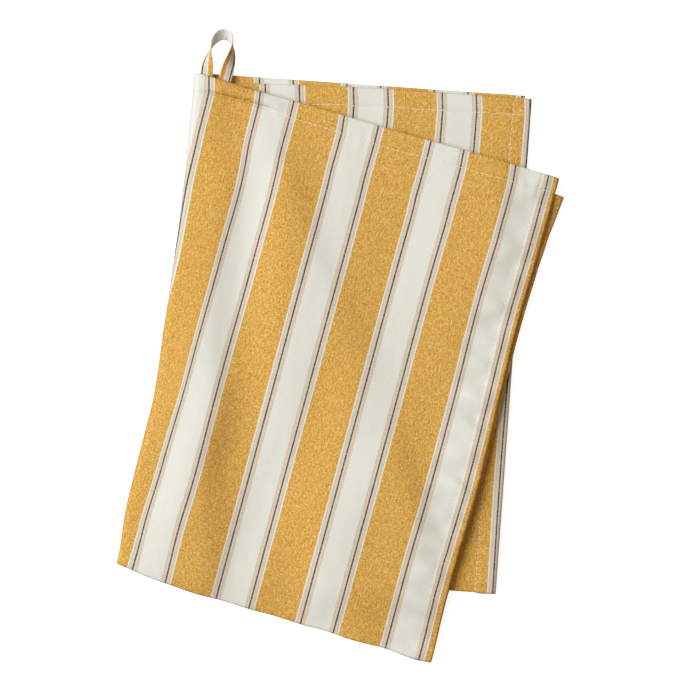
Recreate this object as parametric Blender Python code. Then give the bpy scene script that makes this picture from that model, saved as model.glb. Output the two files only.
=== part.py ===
"""A striped cotton tea towel, folded in half twice and laid flat, with a hanging loop.

Metres, +Z up. The towel lies on z = 0 as seen from straight above, with the loop at the top.
The cloth is one sheet, laid out flat as (u, v): u runs across the stripes, v along them from the
hem that holds the loop. It is folded crosswise first, so that its two short hems meet, then
lengthwise along a slightly slanted line. The four layers from the top down are the front (right
side up), its inner layer, the back's inner layer and the back, which lies on the floor.
Every place on the floor plane is given from the middle of the folded towel's picture.
"""

import math

import bmesh
import bpy
import numpy as np

# Cloth, cut and hemmed
CLOTH_WIDTH = 0.499
CLOTH_LENGTH = 0.691
CLOTH_THICK = 0.0010
HEM_WIDTH = 0.0120
HEM_STEP = 0.0012
HEM_EXTRA = 0.0005

# Crosswise fold: how much longer the half with the loop is at the front's and the back's long edge
FRONT_OVERLAP = 0.0119
BACK_OVERLAP = 0.0026
CROSS_RADIUS = 0.0014

# Lengthwise fold of the half-folded cloth: where it starts, its slant to the stripes, its lean on
# the floor plane, and the place of its foot
FOLD_START = 0.2343
FOLD_SLANT = math.radians(6.17)
FOLD_LEAN = math.radians(9.6)
FOLD_RADIUS = 0.0025
FOLD_FOOT = (-0.1633, -0.1503)
FRONT_SKEW = math.radians(1.0)

# How far the two inner layers are moved out sideways at the top of the towel
PEEK_BACK = 0.0048
PEEK_FRONT = 0.0041
PEEK_CORNER = 0.0030
CORNER_FROM, CORNER_TO = 0.290, 0.340
FOLDED_LENGTH = 0.349

# The long fold's outline is hollow between its ends
HOLLOW_DEPTH = 0.0085
HOLLOW_REACH = 0.024
HOLLOW_BELOW = 0.020

# Small sways of the cloth on the floor plane, and which layers take them: the back's two layers,
# the back's inner layer alone, or the front's two layers
BACK_HALF, INNER_BACK, FRONT_HALF, BOTH_HALVES = (1, 1, 0), (0, 1, 0), (0, 0, 1), (1, 1, 1)
SWAYS = (
    # centre            shift               reach  layers
    ((0.101, -0.171), (0.0000, -0.0027), 0.070, BACK_HALF),
    ((0.010, 0.182), (0.0000, 0.0029), 0.105, INNER_BACK),
    ((-0.163, -0.147), (0.0026, 0.0028), 0.026, BOTH_HALVES),
    ((-0.140, -0.030), (0.0015, 0.0000), 0.030, BOTH_HALVES),
    ((-0.136, -0.120), (-0.0022, 0.0000), 0.028, FRONT_HALF),
    ((-0.078, 0.112), (0.0018, 0.0000), 0.030, FRONT_HALF),
    ((0.092, -0.100), (0.0016, 0.0000), 0.045, FRONT_HALF),
    ((0.117, 0.020), (-0.0012, 0.0000), 0.045, FRONT_HALF),
    ((0.095, 0.100), (0.0018, 0.0000), 0.045, FRONT_HALF),
    ((0.055, -0.215), (0.0024, 0.0000), 0.035, FRONT_HALF),
)

# Soft creases of the front. Each is a ridge that runs down the towel through a few places: x, y and
# its height there, and then how far it spreads to the left and to the right of its top.
CREASES = (
    (
        ((-0.1015, 0.1680, 0.0020), (-0.0970, 0.1350, 0.0026), (-0.0930, 0.1050, 0.0030),
         (-0.1010, 0.0500, 0.0031), (-0.1015, -0.0100, 0.0034), (-0.1040, -0.0550, 0.0012)),
        0.026, 0.016,
    ),
    (
        ((-0.1000, -0.0100, 0.0006), (-0.0985, -0.0420, 0.0040), (-0.1050, -0.0700, 0.0058),
         (-0.1060, -0.1100, 0.0058), (-0.1055, -0.1500, 0.0034), (-0.1055, -0.1700, 0.0016)),
        0.042, 0.018,
    ),
    (
        ((-0.0460, 0.1050, 0.0014), (-0.0490, 0.0300, 0.0040), (-0.0540, -0.0450, 0.0020)),
        0.019, 0.050,
    ),
    (
        ((-0.0570, 0.1350, 0.0022), (-0.0435, 0.1050, 0.0026), (-0.0300, 0.0650, 0.0020),
         (-0.0105, 0.0210, 0.0018), (0.0060, -0.0100, 0.0014)),
        0.028, 0.015,
    ),
    (
        ((0.0060, -0.0050, 0.0008), (0.0020, -0.0420, 0.0026), (-0.0080, -0.0840, 0.0040),
         (-0.0175, -0.1150, 0.0042), (-0.0160, -0.1600, 0.0028)),
        0.020, 0.050,
    ),
    (
        ((0.0210, -0.0560, 0.0010), (0.0308, -0.0840, 0.0030), (0.0378, -0.1050, 0.0036),
         (0.0441, -0.1260, 0.0032), (0.0470, -0.1520, 0.0018)),
        0.030, 0.014,
    ),
    (
        ((0.0960, 0.1300, 0.0012), (0.0985, 0.0800, 0.0024), (0.0920, 0.0400, 0.0026),
         (0.0830, 0.0100, 0.0016), (0.0780, -0.0250, 0.0008)),
        0.040, 0.016,
    ),
)
CREASE_STEPS = 16
CREASE_TOP = 0.0001   # nearer to its ridge than this, a crease has no sides

# The front's free long edge stands off the back at its lower right
LIFT_CENTRE = (0.086, -0.088)
LIFT_HEIGHT = 0.0036
LIFT_ALONG = 0.075
LIFT_ACROSS = 0.034

# Past the back's edges the front drapes down and lies just off the floor
DRAPE_FROM, DRAPE_TO = 0.000, 0.036
FLOOR_GAP = 0.0005

# Hanging loop, a tape of the same cloth with its two ends under the front's hem
TAPE_WIDTH = 0.0090
TAPE_THICK = 0.0013
TAPE_EDGE = 0.0004
TAPE_STEPS = 48
CURVE_STEPS = 12
TAPE_GAP = 0.0009
LOOP_ENDS = (
    # x at the hem's edge, and how far the tape leans to the right going up
    (-0.1012, math.radians(4)),
    (-0.0882, math.radians(14)),
)
TAPE_TUCK = 0.0038
TAPE_CLEAR = 0.0015
LOOP_RUN = (
    # x        y        z        turn: 0 lies face up, 90 stands on edge, more leans outward
    (-0.1007, 0.1965, 0.0052, 18),
    (-0.0997, 0.2030, 0.0053, 50),
    (-0.0982, 0.2095, 0.0055, 82),
    (-0.0957, 0.2155, 0.0052, 110),
    (-0.0925, 0.2192, 0.0045, 132),
    (-0.0888, 0.2204, 0.0041, 140),
    (-0.0853, 0.2190, 0.0045, 128),
    (-0.0834, 0.2152, 0.0052, 104),
    (-0.0831, 0.2095, 0.0055, 76),
    (-0.0842, 0.2030, 0.0053, 46),
    (-0.0860, 0.1965, 0.0052, 18),
)

# Mesh steps across the front and the back, along each half, and round each fold; rounds that
# settle the grid
FRONT_STEPS, BACK_STEPS = 24, 12
HALF_STEPS = 18
ARC_STEPS = 6
GRID_ROUNDS = 6
NORMAL_STEP = 0.0001

MUSTARD = (0.67, 0.39, 0.10, 1)
CREAM = (0.75, 0.73, 0.66, 1)
COTTON_ROUGHNESS = 0.9


def smoothstep(value, start, end):
    """0 before start, 1 after end, with a smooth rise between."""
    t = np.clip((value - start) / (end - start), 0, 1)
    return t * t * (3 - 2 * t)


def cross_line(u):
    """v of the crosswise fold at u."""
    overlap = FRONT_OVERLAP + (BACK_OVERLAP - FRONT_OVERLAP) * u / CLOTH_WIDTH
    return (CLOTH_LENGTH + overlap) / 2


def cross_fold(u, v):
    """The half-folded cloth: distance w up from its fold, and height h about its middle plane."""
    beyond = v - cross_line(u)
    quarter = math.pi * CROSS_RADIUS / 2
    angle = np.clip(beyond / CROSS_RADIUS, -math.pi / 2, math.pi / 2)
    w = np.maximum(np.abs(beyond) - quarter, 0) - CROSS_RADIUS * np.cos(angle)
    return w, CROSS_RADIUS * np.sin(angle)


def fold_shape(w, h):
    """Lengthwise fold of a layer at height h: radius that its cloth turns by, offset and slide."""
    up = np.clip(w / FOLDED_LENGTH, 0, 1)
    inner = (1 + h / CROSS_RADIUS) / 2
    back = PEEK_BACK * up
    front = PEEK_FRONT * up + PEEK_CORNER * smoothstep(w, CORNER_FROM, CORNER_TO)
    nested = 2 * math.pi * CROSS_RADIUS
    share = np.clip((back + front) / nested, 0, 1)
    offset = np.maximum(back + front - nested, 0) / 2
    return FOLD_RADIUS - share * h, offset * inner, back * inner


def length_fold(u, w, h):
    """Folds the half-folded cloth lengthwise: place across and along the fold, height and turn."""
    radius, offset, slide = fold_shape(w, h)
    beside = u - FOLD_START
    along = beside * math.sin(FOLD_SLANT) + w * math.cos(FOLD_SLANT)
    q = beside * math.cos(FOLD_SLANT) - w * math.sin(FOLD_SLANT) + slide - offset
    turn = np.clip(-q / radius, 0, math.pi)
    flat = np.where(q > 0, q, np.maximum(-q - math.pi * radius, 0))
    across = offset + flat - (FOLD_RADIUS - h) * np.sin(turn)
    along = along - math.tan(FRONT_SKEW) * np.where(q > 0, 0, flat)
    height = FOLD_RADIUS - (FOLD_RADIUS - h) * np.cos(turn)
    return across, along, height, turn


def hollow(across, along):
    """Draws the long fold's outline in between its ends."""
    up = np.clip((along + HOLLOW_BELOW) / (FOLDED_LENGTH + HOLLOW_BELOW), 0, 1)
    reach = np.exp(-((np.maximum(across, 0) / HOLLOW_REACH) ** 2))
    return across + HOLLOW_DEPTH * np.sin(math.pi * up) * reach


def sway(x, y, inner, front):
    """Moves a place by the small sways; inner and front are 1 on those layers and 0 on the others."""
    moved_x, moved_y = x, y
    for centre, shift, reach, (on_back, on_inner_back, on_front) in SWAYS:
        gap = (x - centre[0]) ** 2 + (y - centre[1]) ** 2
        share = (on_back + (on_inner_back - on_back) * inner) * (1 - front) + on_front * front
        share = share * np.exp(-gap / reach**2)
        moved_x, moved_y = moved_x + shift[0] * share, moved_y + shift[1] * share
    return moved_x, moved_y


def crease_height(x, y):
    """Height that the soft creases add to the front."""
    total = np.zeros_like(x)
    for stations, left, right in CREASES:
        run = smooth_run(stations, CREASE_STEPS)
        nearest, crease = np.full_like(x, np.inf), np.zeros_like(x)
        for (ax, ay, height), (bx, by, next_height) in zip(run, run[1:]):
            length = math.hypot(bx - ax, by - ay)
            ahead_x, ahead_y = (bx - ax) / length, (by - ay) / length
            along = np.clip((x - ax) * ahead_x + (y - ay) * ahead_y, 0, length)
            dx, dy = x - ax - along * ahead_x, y - ay - along * ahead_y
            gap = np.hypot(dx, dy)
            side = (ahead_x * dy - ahead_y * dx) / np.maximum(gap, CREASE_TOP)
            spread = (left + right) / 2 + (right - left) / 2 * side
            ridge = (height + (next_height - height) * along / length) * np.exp(-((gap / spread) ** 2))
            crease = np.where(gap < nearest, ridge, crease)
            nearest = np.minimum(gap, nearest)
        total = total + crease
    return total


def edge_lift(x, y):
    """Height by which the front's free edge stands off the back."""
    dx, dy = x - LIFT_CENTRE[0], y - LIFT_CENTRE[1]
    lean = FOLD_LEAN + FOLD_SLANT
    along = dx * math.sin(lean) + dy * math.cos(lean)
    across = dx * math.cos(lean) - dy * math.sin(lean)
    return LIFT_HEIGHT * np.exp(-((along / LIFT_ALONG) ** 2) - (across / LIFT_ACROSS) ** 2)


def past_back(across, along):
    """How far a place is past the nearer of the back's free edge and its crosswise fold."""
    beside = across * math.cos(FOLD_SLANT) + along * math.sin(FOLD_SLANT)
    up = along * math.cos(FOLD_SLANT) - across * math.sin(FOLD_SLANT)
    return np.maximum(beside - (CLOTH_WIDTH - FOLD_START) - PEEK_BACK, -up - CROSS_RADIUS)


def folded(u, v):
    """Where the middle of the cloth's thickness lies at (u, v)."""
    u, v = np.broadcast_arrays(np.asarray(u, float), np.asarray(v, float))
    w, h = cross_fold(u, v)
    across, along, height, turn = length_fold(u, w, h)
    past = smoothstep(past_back(across, along), DRAPE_FROM, DRAPE_TO)
    across = hollow(across, along)
    x = FOLD_FOOT[0] + across * math.cos(FOLD_LEAN) + along * math.sin(FOLD_LEAN)
    y = FOLD_FOOT[1] - across * math.sin(FOLD_LEAN) + along * math.cos(FOLD_LEAN)
    front = smoothstep(turn, 0, math.pi)
    x, y = sway(x, y, (1 + h / CROSS_RADIUS) / 2, front)
    stack = 2 * (FOLD_RADIUS + CROSS_RADIUS)
    rise = (height + CROSS_RADIUS) * (1 + crease_height(x, y) / stack)
    lift = (edge_lift(x, y) - (2 * FOLD_RADIUS - FLOOR_GAP) * past) * front
    return np.stack([x, y, CLOTH_THICK / 2 + rise + lift], axis=-1)


def right_side(u, v):
    """Unit normal on the right side of the cloth."""
    along_u = folded(u + NORMAL_STEP, v) - folded(u - NORMAL_STEP, v)
    along_v = folded(u, v + NORMAL_STEP) - folded(u, v - NORMAL_STEP)
    normal = np.cross(along_u, along_v)
    return normal / np.linalg.norm(normal, axis=-1, keepdims=True)


def hem_thickness(u, v):
    """What the turned hem adds on the wrong side."""
    edge = np.minimum(np.minimum(u, CLOTH_WIDTH - u), np.minimum(v, CLOTH_LENGTH - v))
    return HEM_EXTRA * (1 - smoothstep(edge, HEM_WIDTH, HEM_WIDTH + HEM_STEP))


def grid_line(length, arc_start, arc_end, before, after):
    """Places along one line of the grid, with so many steps before its fold and after it."""
    hem = (0, HEM_WIDTH, HEM_WIDTH + HEM_STEP)
    knots = [*hem, arc_start, arc_end, *(length - place for place in reversed(hem))]
    places = [0.0]
    for start, end, steps in zip(knots, knots[1:], (1, 1, before, ARC_STEPS, after, 1, 1)):
        places += [start + (end - start) * i / steps for i in range(1, steps + 1)]
    return np.stack(np.broadcast_arrays(*places))


def cloth_grid():
    """(u, v) of the cloth's grid, whose lines follow both folds."""
    across, along = FRONT_STEPS + BACK_STEPS + ARC_STEPS + 5, 2 * HALF_STEPS + ARC_STEPS + 5
    rows, columns = np.indices((along, across))
    u = CLOTH_WIDTH * columns / (across - 1)
    for _ in range(GRID_ROUNDS):
        quarter = math.pi * CROSS_RADIUS / 2
        fold_start, fold_end = cross_line(u) - quarter, cross_line(u) + quarter
        lines = grid_line(CLOTH_LENGTH, fold_start, fold_end, HALF_STEPS, HALF_STEPS)
        v = lines[rows, rows, columns]
        w, h = cross_fold(u, v)
        radius, offset, slide = fold_shape(w, h)
        arc_end = FOLD_START + (offset - slide + w * math.sin(FOLD_SLANT)) / math.cos(FOLD_SLANT)
        arc_start = arc_end - math.pi * radius / math.cos(FOLD_SLANT)
        u = grid_line(CLOTH_WIDTH, arc_start, arc_end, FRONT_STEPS, BACK_STEPS)[columns, rows, columns]
    return u, v


def cotton(name, colour):
    """Plain matt cotton."""
    material = bpy.data.materials.new(name)
    material.use_nodes = True
    shader = material.node_tree.nodes["Principled BSDF"]
    shader.inputs["Base Color"].default_value = colour
    shader.inputs["Roughness"].default_value = COTTON_ROUGHNESS
    shader.inputs["Metallic"].default_value = 0
    return material


def new_object(name, bm, material):
    mesh = bpy.data.meshes.new(name)
    bm.to_mesh(mesh)
    bm.free()
    mesh.materials.append(material)
    item = bpy.data.objects.new(name, mesh)
    bpy.context.scene.collection.objects.link(item)
    return item


def make_cloth():
    """The folded cloth: its right side, its wrong side and the rim between them."""
    u, v = cloth_grid()
    middle, normal = folded(u, v), right_side(u, v)
    right = middle + normal * CLOTH_THICK / 2
    wrong = middle - normal * (CLOTH_THICK / 2 + hem_thickness(u, v))[..., None]

    bm = bmesh.new()
    right = [[bm.verts.new(place) for place in row] for row in right]
    wrong = [[bm.verts.new(place) for place in row] for row in wrong]
    end, side = len(right) - 1, len(right[0]) - 1
    for r in range(end):
        for c in range(side):
            bm.faces.new((right[r][c], right[r][c + 1], right[r + 1][c + 1], right[r + 1][c]))
            bm.faces.new((wrong[r][c], wrong[r + 1][c], wrong[r + 1][c + 1], wrong[r][c + 1]))
    rim = [(0, c) for c in range(side)] + [(r, side) for r in range(end)]
    rim += [(end, c) for c in range(side, 0, -1)] + [(r, 0) for r in range(end, 0, -1)]
    for (r, c), (s, d) in zip(rim, rim[1:] + rim[:1]):
        bm.faces.new((right[r][c], wrong[r][c], wrong[s][d], right[s][d]))
    return new_object("towel_cloth", bm, cotton("mustard_cotton", MUSTARD))


def under_hem(edge_x, lean):
    """Two tape stations against the wrong side of the front's hem: the tucked end and the edge."""
    fold_u = FOLD_START + FOLDED_LENGTH * math.tan(FOLD_SLANT)
    edge_u = np.arange(0, fold_u - 2 * math.pi * FOLD_RADIUS, TAPE_EDGE)
    u = np.interp(edge_x, folded(edge_u, 0)[::-1, 0], edge_u[::-1])
    down = CLOTH_THICK / 2 + HEM_EXTRA + TAPE_GAP + TAPE_THICK / 2
    places = []
    for v in (TAPE_TUCK, TAPE_CLEAR):
        beside = u + v * math.tan(lean - FOLD_LEAN - FOLD_SLANT)
        places.append([*(folded(beside, v) - right_side(beside, v) * down), 0])
    return places


def smooth_run(stations, steps):
    """A smooth curve through the stations, evenly divided."""
    stations = np.array(stations)
    before = 2 * stations[0] - stations[1]
    after = 2 * stations[-1] - stations[-2]
    points = np.vstack([before, stations, after])
    curve = []
    for a, b, c, d in zip(points, points[1:], points[2:], points[3:]):
        for t in np.linspace(0, 1, CURVE_STEPS, endpoint=False):
            curve.append(
                b + t * (c - a) / 2 + t**2 * (a - 2.5 * b + 2 * c - d / 2)
                + t**3 * (1.5 * (b - c) + (d - a) / 2)
            )
    curve = np.array(curve + [points[-2]])
    travel = np.concatenate([[0], np.cumsum(np.linalg.norm(np.diff(curve[:, :3], axis=0), axis=1))])
    even = np.linspace(0, travel[-1], steps + 1)
    return np.stack([np.interp(even, travel, column) for column in curve.T], axis=-1)


def make_loop():
    """The hanging loop: a flat tape that rises on edge and leans outward at its top."""
    left, right = (under_hem(*end) for end in LOOP_ENDS)
    run = smooth_run([*left, *LOOP_RUN, *reversed(right)], TAPE_STEPS)
    centre, turn = run[:, :3], np.radians(run[:, 3:])

    ahead = np.gradient(centre, axis=0)
    ahead /= np.linalg.norm(ahead, axis=1, keepdims=True)
    outward = np.cross((0, 0, 1), ahead)
    outward /= np.linalg.norm(outward, axis=1, keepdims=True)
    upward = np.cross(ahead, outward)
    face = np.cos(turn) * upward + np.sin(turn) * outward
    side = np.sin(turn) * upward - np.cos(turn) * outward

    wide, thick = TAPE_WIDTH / 2, TAPE_THICK / 2
    section = [(wide, thick - TAPE_EDGE), (wide - TAPE_EDGE, thick)]
    section += [(-s, f) for s, f in reversed(section)]
    section += [(-s, -f) for s, f in section]
    bm = bmesh.new()
    rings = [
        [bm.verts.new(centre[i] + side[i] * s + face[i] * f) for s, f in section]
        for i in range(len(centre))
    ]
    for ring, following in zip(rings, rings[1:]):
        for k in range(len(section)):
            m = (k + 1) % len(section)
            bm.faces.new((ring[k], ring[m], following[m], following[k]))
    bm.faces.new(rings[0])
    bm.faces.new(rings[-1])
    bmesh.ops.recalc_face_normals(bm, faces=bm.faces)
    return new_object("hanging_loop", bm, cotton("cream_cotton", CREAM))


def centre_on_floor(pieces):
    """Hangs the pieces on an empty that puts the middle of their box over the origin."""
    corners = np.array([vertex.co for piece in pieces for vertex in piece.data.vertices])
    middle = (corners.min(axis=0) + corners.max(axis=0)) / 2
    towel = bpy.data.objects.new("towel", None)
    bpy.context.scene.collection.objects.link(towel)
    towel.location = (-middle[0], -middle[1], -corners[:, 2].min())
    for piece in pieces:
        piece.parent = towel


for item in list(bpy.data.objects):
    bpy.data.objects.remove(item)
centre_on_floor([make_cloth(), make_loop()])
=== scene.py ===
import math

import bpy
import numpy as np
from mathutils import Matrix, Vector


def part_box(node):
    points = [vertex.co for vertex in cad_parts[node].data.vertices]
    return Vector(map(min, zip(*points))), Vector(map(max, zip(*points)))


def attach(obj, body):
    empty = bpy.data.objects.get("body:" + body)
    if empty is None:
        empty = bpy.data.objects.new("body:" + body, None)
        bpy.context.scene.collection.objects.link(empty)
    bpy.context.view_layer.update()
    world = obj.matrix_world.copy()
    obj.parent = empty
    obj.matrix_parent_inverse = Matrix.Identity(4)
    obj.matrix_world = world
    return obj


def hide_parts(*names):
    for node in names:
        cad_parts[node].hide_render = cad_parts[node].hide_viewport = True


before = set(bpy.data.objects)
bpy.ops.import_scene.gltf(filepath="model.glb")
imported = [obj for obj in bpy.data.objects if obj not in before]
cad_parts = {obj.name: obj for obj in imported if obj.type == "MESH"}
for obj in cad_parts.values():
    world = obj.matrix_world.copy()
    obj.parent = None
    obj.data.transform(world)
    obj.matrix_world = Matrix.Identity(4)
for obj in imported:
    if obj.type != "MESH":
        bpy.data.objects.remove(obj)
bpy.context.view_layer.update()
print("frame loaded:", ", ".join(sorted(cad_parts)))


# the cloth as cut and hemmed, in metres: u runs across the stripes from the free edge, and v along
# them from the loop's hem
cloth = {
    "width": 0.499,
    "length": 0.691,
    "thick": 0.0007,
    "hemPast": 0.0006,        # from the seam to the turned hem's own edge
    "hemStep": 0.0012,        # and how far that edge's own step reaches
    "hemThick": 0.0005,       # what the turned hem adds on the wrong side
    "hemGrid": (0.0088, 0.0160),
    "acrossSteps": (5, 9, 106, 10, 29, 7, 4),   # hem, its seam, front, fold, back, seam, hem
    "alongSteps": (7, 12, 166, 8, 52, 7, 4),
    "settleRounds": 6,
    "normalStep": 0.0001,
    "lift": 0.0009,           # how far the lowest layer's middle lies off the floor
}

# how it is folded: crosswise first, then lengthwise along a slanted line; places are on the floor
# plane from the middle of the picture
folds = {
    "frontOverlap": 0.0119,
    "backOverlap": 0.0026,
    "crossRadius": 0.0014,
    "start": 0.2343,
    "slant": math.radians(6.17),
    "lean": math.radians(9.6),
    "radius": 0.0025,
    "foot": (-0.1633, -0.1503),
    "frontSkew": math.radians(1.0),
    "peekBack": 0.0048,
    "peekFront": 0.0041,
    "peekCorner": 0.0030,
    "cornerFrom": 0.290,
    "cornerTo": 0.340,
    "foldedLength": 0.349,
    "hollowDepth": 0.0085,
    "hollowReach": 0.024,
    "hollowBelow": 0.020,
    "drapeTo": 0.036,
    "floorGap": 0.0005,
}
backHalf, innerBack, frontHalf, bothHalves = (1, 1, 0), (0, 1, 0), (0, 0, 1), (1, 1, 1)
sways = (   # centre, shift, reach, which layers
    ((0.101, -0.171), (0.0000, -0.0027), 0.070, backHalf),
    ((0.010, 0.182), (0.0000, 0.0029), 0.105, innerBack),
    ((-0.163, -0.147), (0.0026, 0.0028), 0.026, bothHalves),
    ((-0.140, -0.030), (0.0015, 0.0000), 0.030, bothHalves),
    ((-0.136, -0.120), (-0.0022, 0.0000), 0.028, frontHalf),
    ((-0.078, 0.112), (0.0018, 0.0000), 0.030, frontHalf),
    ((0.092, -0.100), (0.0016, 0.0000), 0.045, frontHalf),
    ((0.117, 0.020), (-0.0012, 0.0000), 0.045, frontHalf),
    ((0.095, 0.100), (0.0018, 0.0000), 0.045, frontHalf),
    ((0.055, -0.215), (0.0024, 0.0000), 0.035, frontHalf),
)
creases = (   # ridges down the front: x, y and height at places, then the spread to left and right
    (((-0.1015, 0.1680, 0.0020), (-0.0970, 0.1350, 0.0026), (-0.0930, 0.1050, 0.0030),
      (-0.1010, 0.0500, 0.0031), (-0.1015, -0.0100, 0.0034), (-0.1040, -0.0550, 0.0012)),
     0.026, 0.016),
    (((-0.1000, -0.0100, 0.0006), (-0.0985, -0.0420, 0.0040), (-0.1050, -0.0700, 0.0058),
      (-0.1060, -0.1100, 0.0058), (-0.1055, -0.1500, 0.0034), (-0.1055, -0.1700, 0.0016)),
     0.042, 0.018),
    (((-0.0460, 0.1050, 0.0014), (-0.0490, 0.0300, 0.0040), (-0.0540, -0.0450, 0.0020)),
     0.019, 0.050),
    (((-0.0570, 0.1350, 0.0022), (-0.0435, 0.1050, 0.0026), (-0.0300, 0.0650, 0.0020),
      (-0.0105, 0.0210, 0.0018), (0.0060, -0.0100, 0.0014)),
     0.028, 0.015),
    (((0.0060, -0.0050, 0.0008), (0.0020, -0.0420, 0.0026), (-0.0080, -0.0840, 0.0040),
      (-0.0175, -0.1150, 0.0042), (-0.0160, -0.1600, 0.0028)),
     0.020, 0.050),
    (((0.0210, -0.0560, 0.0010), (0.0308, -0.0840, 0.0030), (0.0378, -0.1050, 0.0036),
      (0.0441, -0.1260, 0.0032), (0.0470, -0.1520, 0.0018)),
     0.030, 0.014),
    (((0.0960, 0.1300, 0.0012), (0.0985, 0.0800, 0.0024), (0.0920, 0.0400, 0.0026),
      (0.0830, 0.0100, 0.0016), (0.0780, -0.0250, 0.0008)),
     0.040, 0.016),
)
creaseSteps, creaseFine = 16, 12
creaseTop = 0.0001   # nearer to its ridge than this, a crease has no sides
creaseShare = 1.2    # the creases stand this much fuller than in the solid
lifted = {"centre": (0.086, -0.088), "height": 0.0036, "along": 0.075, "across": 0.034}


def smooth(value, start, end):
    t = np.clip((value - start) / (end - start), 0, 1)
    return t * t * (3 - 2 * t)


def crossLine(u):
    front, back = folds["frontOverlap"], folds["backOverlap"]
    return (cloth["length"] + front + (back - front) * u / cloth["width"]) / 2


def crossFold(u, v):   # distance up from the crosswise fold, and height about its middle
    radius = folds["crossRadius"]
    beyond = v - crossLine(u)
    angle = np.clip(beyond / radius, -math.pi / 2, math.pi / 2)
    w = np.maximum(np.abs(beyond) - math.pi * radius / 2, 0) - radius * np.cos(angle)
    return w, radius * np.sin(angle)


def foldShape(w, h):   # of a layer at height h: radius of its turn, offset and slide
    up = np.clip(w / folds["foldedLength"], 0, 1)
    inner = (1 + h / folds["crossRadius"]) / 2
    back = folds["peekBack"] * up
    corner = folds["peekCorner"] * smooth(w, folds["cornerFrom"], folds["cornerTo"])
    front = folds["peekFront"] * up + corner
    nested = 2 * math.pi * folds["crossRadius"]
    share = np.clip((back + front) / nested, 0, 1)
    offset = np.maximum(back + front - nested, 0) / 2
    return folds["radius"] - share * h, offset * inner, back * inner


def lengthFold(u, w, h):
    radius, offset, slide = foldShape(w, h)
    beside = u - folds["start"]
    along = beside * math.sin(folds["slant"]) + w * math.cos(folds["slant"])
    q = beside * math.cos(folds["slant"]) - w * math.sin(folds["slant"]) + slide - offset
    turn = np.clip(-q / radius, 0, math.pi)
    flat = np.where(q > 0, q, np.maximum(-q - math.pi * radius, 0))
    across = offset + flat - (folds["radius"] - h) * np.sin(turn)
    along = along - math.tan(folds["frontSkew"]) * np.where(q > 0, 0, flat)
    return across, along, folds["radius"] - (folds["radius"] - h) * np.cos(turn), turn


def hollow(across, along):   # draws the long fold's outline in between its ends
    below = folds["hollowBelow"]
    up = np.clip((along + below) / (folds["foldedLength"] + below), 0, 1)
    reach = np.exp(-((np.maximum(across, 0) / folds["hollowReach"]) ** 2))
    return across + folds["hollowDepth"] * np.sin(math.pi * up) * reach


def sway(x, y, inner, front):
    movedX, movedY = x, y
    for centre, shift, reach, (onBack, onInnerBack, onFront) in sways:
        gap = (x - centre[0]) ** 2 + (y - centre[1]) ** 2
        share = (onBack + (onInnerBack - onBack) * inner) * (1 - front) + onFront * front
        share = share * np.exp(-gap / reach**2)
        movedX, movedY = movedX + shift[0] * share, movedY + shift[1] * share
    return movedX, movedY


def smoothRun(stations, steps, fine):   # a smooth curve through the stations, evenly divided
    stations = np.array(stations)
    points = np.vstack([2 * stations[0] - stations[1], stations, 2 * stations[-1] - stations[-2]])
    curve = []
    for a, b, c, d in zip(points, points[1:], points[2:], points[3:]):
        for t in np.linspace(0, 1, fine, endpoint=False):
            bend = t**2 * (a - 2.5 * b + 2 * c - d / 2) + t**3 * (1.5 * (b - c) + (d - a) / 2)
            curve.append(b + t * (c - a) / 2 + bend)
    curve = np.array(curve + [points[-2]])
    pieces = np.linalg.norm(np.diff(curve[:, :3], axis=0), axis=1)
    travel = np.concatenate([[0], np.cumsum(pieces)])
    even = np.linspace(0, travel[-1], steps + 1)
    return np.stack([np.interp(even, travel, column) for column in curve.T], axis=-1), travel[-1]


def creaseHeight(x, y):
    total = np.zeros(np.shape(x))
    for stations, left, right in creases:
        run, _ = smoothRun(stations, creaseSteps, creaseFine)
        nearest, crease = np.full(np.shape(x), np.inf), np.zeros(np.shape(x))
        for (ax, ay, height), (bx, by, nextHeight) in zip(run, run[1:]):
            length = math.hypot(bx - ax, by - ay)
            aheadX, aheadY = (bx - ax) / length, (by - ay) / length
            along = np.clip((x - ax) * aheadX + (y - ay) * aheadY, 0, length)
            dx, dy = x - ax - along * aheadX, y - ay - along * aheadY
            gap = np.hypot(dx, dy)
            side = (aheadX * dy - aheadY * dx) / np.maximum(gap, creaseTop)
            spread = (left + right) / 2 + (right - left) / 2 * side
            ridge = height + (nextHeight - height) * along / length
            ridge = ridge * np.exp(-((gap / spread) ** 2))
            crease = np.where(gap < nearest, ridge, crease)
            nearest = np.minimum(gap, nearest)
        total = total + crease
    return total


def edgeLift(x, y):   # the front's free edge stands off the back
    dx, dy = x - lifted["centre"][0], y - lifted["centre"][1]
    lean = folds["lean"] + folds["slant"]
    along = dx * math.sin(lean) + dy * math.cos(lean)
    across = dx * math.cos(lean) - dy * math.sin(lean)
    reach = (along / lifted["along"]) ** 2 + (across / lifted["across"]) ** 2
    return lifted["height"] * np.exp(-reach)


def pastBack(across, along):   # how far the front reaches beyond the layers behind it
    beside = across * math.cos(folds["slant"]) + along * math.sin(folds["slant"])
    up = along * math.cos(folds["slant"]) - across * math.sin(folds["slant"])
    pastSide = beside - (cloth["width"] - folds["start"]) - folds["peekBack"]
    return np.maximum(pastSide, -up - folds["crossRadius"])


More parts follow.
